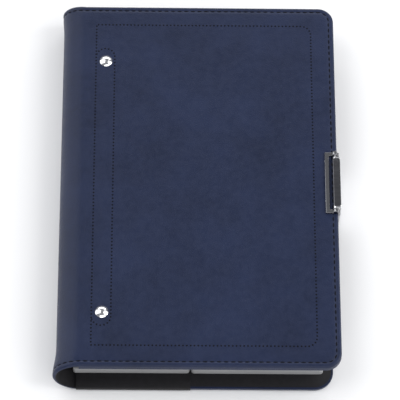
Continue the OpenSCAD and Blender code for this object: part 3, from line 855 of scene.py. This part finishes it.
# %% Edge seams of the two covers
SEAM_IN = 3.6 * mm
EDGE_PITCH = 4.75 * mm
EDGE_STITCH = (3.4 * mm, 1.0 * mm, 0.6 * mm)
SEAM_SINK = 0.32 * mm


def edge_path(x1, half, radius, z, first, last):
    """From the middle of the spine along the near end, round the free corners and back."""
    x, y, r = x1 - SEAM_IN, half - SEAM_IN, radius - SEAM_IN
    turn = [on_spine(a, -y, spine_r - SEAM_SINK) for a in np.linspace(first, last, 20)]
    path = [round_the_spine(p) for p in turn]
    path += arc_points((x - r, -y + r, z), r, -90, 0)
    path += arc_points((x - r, y - r, z), r, 0, 90)
    return path + [round_the_spine(Vector((p.x, -p.y, p.z))) for p in reversed(turn)]


front_seam = sew("front_edge_seam", edge_path(free_x, half_front, front_corner,
                                              top - SEAM_SINK, 91, 180),
                 EDGE_PITCH, *EDGE_STITCH)
back_seam = sew("back_edge_seam", edge_path(back_x, half_back, back_corner, SEAM_SINK, 89, 0),
                EDGE_PITCH, *EDGE_STITCH)
bend_front(front_seam)
bend_back(back_seam)

# %% [markdown]
# The panel's seam is decoration. Its stitches are short and close together, so from above they
# read as a row of dots. The corners next to the spine are square and the two at the free edge are
# round. A second seam loops round both rivets and shares the panel's left line.

# %% The panel seam and the long loop round the two rivets
PANEL_LEFT = spine_low.x + 23.9 * mm
PANEL_RIGHT = free_x - 16.6 * mm
PANEL_BOTTOM = -half_front + 15.4 * mm
PANEL_TOP = half_front - 15.6 * mm
PANEL_R = 7 * mm
STADIUM_W = 13.3 * mm
LOOP_PAST = 10.2 * mm
PANEL_PITCH = 2.6 * mm
PANEL_STITCH = (1.35 * mm, 1.3 * mm, 0.5 * mm)
seam_z = top - 0.05 * mm
loop_r = STADIUM_W / 2
panel_path = ([Vector((PANEL_LEFT, PANEL_TOP, seam_z)), Vector((PANEL_LEFT, PANEL_BOTTOM, seam_z))]
              + arc_points((PANEL_RIGHT - PANEL_R, PANEL_BOTTOM + PANEL_R, seam_z), PANEL_R, -90, 0)
              + arc_points((PANEL_RIGHT - PANEL_R, PANEL_TOP - PANEL_R, seam_z), PANEL_R, 0, 90)
              + [Vector((PANEL_LEFT, PANEL_TOP, seam_z))])
loop_near = (PANEL_LEFT + loop_r, near_rivet_y - LOOP_PAST + loop_r, seam_z)
loop_far = (PANEL_LEFT + loop_r, far_rivet_y + LOOP_PAST - loop_r, seam_z)
loop_path = arc_points(loop_near, loop_r, -172, 0) + arc_points(loop_far, loop_r, 0, 172)
for name, path in (("panel_seam", panel_path), ("rivet_loop_seam", loop_path)):
    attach(sew(name, path, PANEL_PITCH, *PANEL_STITCH), "front_cover")

# %% [markdown]
# ## The clasp
# The flap is a metal strip rolled round the pin at one end, so it is made as it is in the
# workshop: a flat is extruded down over the cover's edge, its other edge is spun round the pin,
# and the sheet is given its thickness. A dark brushed plate with rounded corners lies on it, and a
# bow of rounded bar holds the pin.

# %% The rolled flap
pin_low, pin_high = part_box("clasp_pin")
strip_low, strip_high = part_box("clasp_flap")
pin_x, pin_z = (pin_low.x + pin_high.x) / 2, (pin_low.z + pin_high.z) / 2
strip_half = strip_high.y
FLAP_Y = -2.4 * mm
FLAP_METAL = 0.8 * mm
ROLL_R = strip_high.z - pin_z
ROLL_TURN = math.radians(250)


def face_out_top(obj):
    """The highest face has to look up."""
    highest = max(obj.data.polygons, key=lambda f: (round(f.center.z, 6), f.area))
    if highest.normal.z < 0:
        obj.data.flip_normals()


def rolled_flap():
    obj = flat_sheet("clasp_rolled_flap", pin_x, strip_high.x, FLAP_Y - strip_half,
                     FLAP_Y + strip_half, strip_high.z)
    bpy.ops.object.mode_set(mode="EDIT")
    select_parts(obj, "edges", lambda e: all(v.co.x > strip_high.x - close for v in e.verts))
    bpy.ops.mesh.extrude_region_move(
        TRANSFORM_OT_translate={"value": (0, 0, strip_low.z - strip_high.z)})
    select_parts(obj, "edges", lambda e: all(v.co.x < pin_x + close for v in e.verts))
    bpy.ops.mesh.spin(steps=16, angle=ROLL_TURN, center=(pin_x, 0, pin_z), axis=(0, 1, 0))
    bpy.ops.object.mode_set(mode="OBJECT")
    recalculate(obj)
    face_out_top(obj)
    thicken(obj, FLAP_METAL, even=True)
    round_edges(obj, 0.3 * mm, 3, 35)
    apply_all(obj)
    smooth(obj, 35)
    dress(obj, finishes["chrome"])
    return obj


metal_flap = rolled_flap()
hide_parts("clasp_flap")
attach(metal_flap, "flap")
print("flap in mm:", [round(v / mm, 1) for v in metal_flap.dimensions])

# %% [markdown]
# The dark plate is a low block. Its four upright edges are bevelled into round corners, and its top
# face is inset and raised a little, so a thin rim catches the light.

# %% The dark plate
PLATE_T = 0.5 * mm
PLATE_LEFT = pin_x - 1.55 * mm
PLATE_RIGHT = strip_high.x - 0.15 * mm
PLATE_HALF = strip_half - 1.0 * mm
PLATE_CORNER = 1.6 * mm
PLATE_RAISED = 0.18 * mm


def dark_plate():
    """A flat bar with its corners rounded and its rim bevelled, resting on the flap."""
    deselect()
    bpy.ops.mesh.primitive_cube_add(size=1, location=((PLATE_LEFT + PLATE_RIGHT) / 2, FLAP_Y,
                                                      strip_high.z))
    obj = bpy.context.active_object
    obj.name = "clasp_dark_plate"
    obj.scale = (PLATE_RIGHT - PLATE_LEFT, 2 * PLATE_HALF, PLATE_T)
    bpy.ops.object.transform_apply(location=True, rotation=True, scale=True)
    bpy.ops.object.mode_set(mode="EDIT")
    select_parts(obj, "edges", lambda e: abs(e.verts[0].co.z - e.verts[1].co.z) > PLATE_T / 2)
    bpy.ops.mesh.bevel(offset=PLATE_CORNER, segments=6, affect="EDGES")
    select_parts(obj, "faces", lambda f: f.normal.z > 0.9)
    bpy.ops.mesh.inset(thickness=0.25 * mm)
    bpy.ops.transform.translate(value=(0, 0, PLATE_RAISED))
    bpy.ops.object.mode_set(mode="OBJECT")
    round_edges(obj, 0.08 * mm)
    apply_all(obj)
    smooth(obj, 30)
    dress(obj, finishes["dark_chrome"])
    return obj


plate = dark_plate()
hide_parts("flap_inlay")
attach(plate, "flap")
soften("clasp_pin", 0.2 * mm, 3)

# %% [markdown]
# The bow starts as a flat plate. An inset makes it a ring, a bisect opens the ring on the right,
# and the cut ends are extruded over the cover's edge. With its thickness and a wide bevel the flat
# strip turns into rounded bar. A cylinder round the pin makes the eye of each arm.

# %% The frame: a bow of rounded bar with an eye at the end of each arm
BOW_FAR, BOW_NEAR = 22.4 * mm, -25.4 * mm
BAR = 2.7 * mm
BOW_METAL = 1.5 * mm
BOW_SUNK = 0.9 * mm
BOW_IN = 0.55 * mm
BOW_WASTE = 1 * mm
BOW_STEPS = ((0.9, -0.3), (0.4, -0.9), (0.0, -3.2))


def clasp_bow():
    """A plate is inset to a ring, cut open on the right, folded over the edge and thickened."""
    x0, x1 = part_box("clasp_frame")[0].x + BOW_IN, pin_x + ROLL_R
    obj = flat_sheet("clasp_bow", x0, x1 + BAR + BOW_WASTE, BOW_NEAR, BOW_FAR, top + BOW_METAL)
    bpy.ops.object.mode_set(mode="EDIT")
    select_parts(obj, "faces", lambda f: True)
    bpy.ops.mesh.inset(thickness=BAR)
    bpy.ops.mesh.delete(type="FACE")
    select_parts(obj, "faces", lambda f: True)
    bpy.ops.mesh.bisect(plane_co=(x1, 0, 0), plane_no=(1, 0, 0), clear_outer=True)
    select_parts(obj, "edges", lambda e: all(v.co.x > x1 - close for v in e.verts))
    for x, z in BOW_STEPS:
        bpy.ops.mesh.extrude_region_move(TRANSFORM_OT_translate={"value": (x * mm, 0, z * mm)})
    bpy.ops.object.mode_set(mode="OBJECT")
    recalculate(obj)
    face_out_top(obj)
    thicken(obj, BOW_METAL + BOW_SUNK, even=True)
    eyes = []
    for y in (BOW_FAR - BAR / 2, BOW_NEAR + BAR / 2):
        deselect()
        bpy.ops.mesh.primitive_cylinder_add(vertices=40, radius=ROLL_R + 0.1 * mm, depth=BAR,
                                            location=(pin_x, y, pin_z),
                                            rotation=(math.pi / 2, 0, 0))
        eyes.append(bpy.context.active_object)
    apply_all(obj)
    pick(obj)
    for eye in eyes:
        eye.select_set(True)
    bpy.ops.object.join()
    round_edges(obj, 1.1 * mm, 6, 40)
    apply_all(obj)
    smooth(obj, 35)
    # The bow gets the darkened chrome, whose low base colour is painted dark reflection.
    dress(obj, finishes["chrome_with_painted_dark_reflection"])
    return obj


bow = clasp_bow()
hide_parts("clasp_frame")
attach(bow, "front_cover")
print("bow in mm:", [round(v / mm, 1) for v in bow.dimensions])
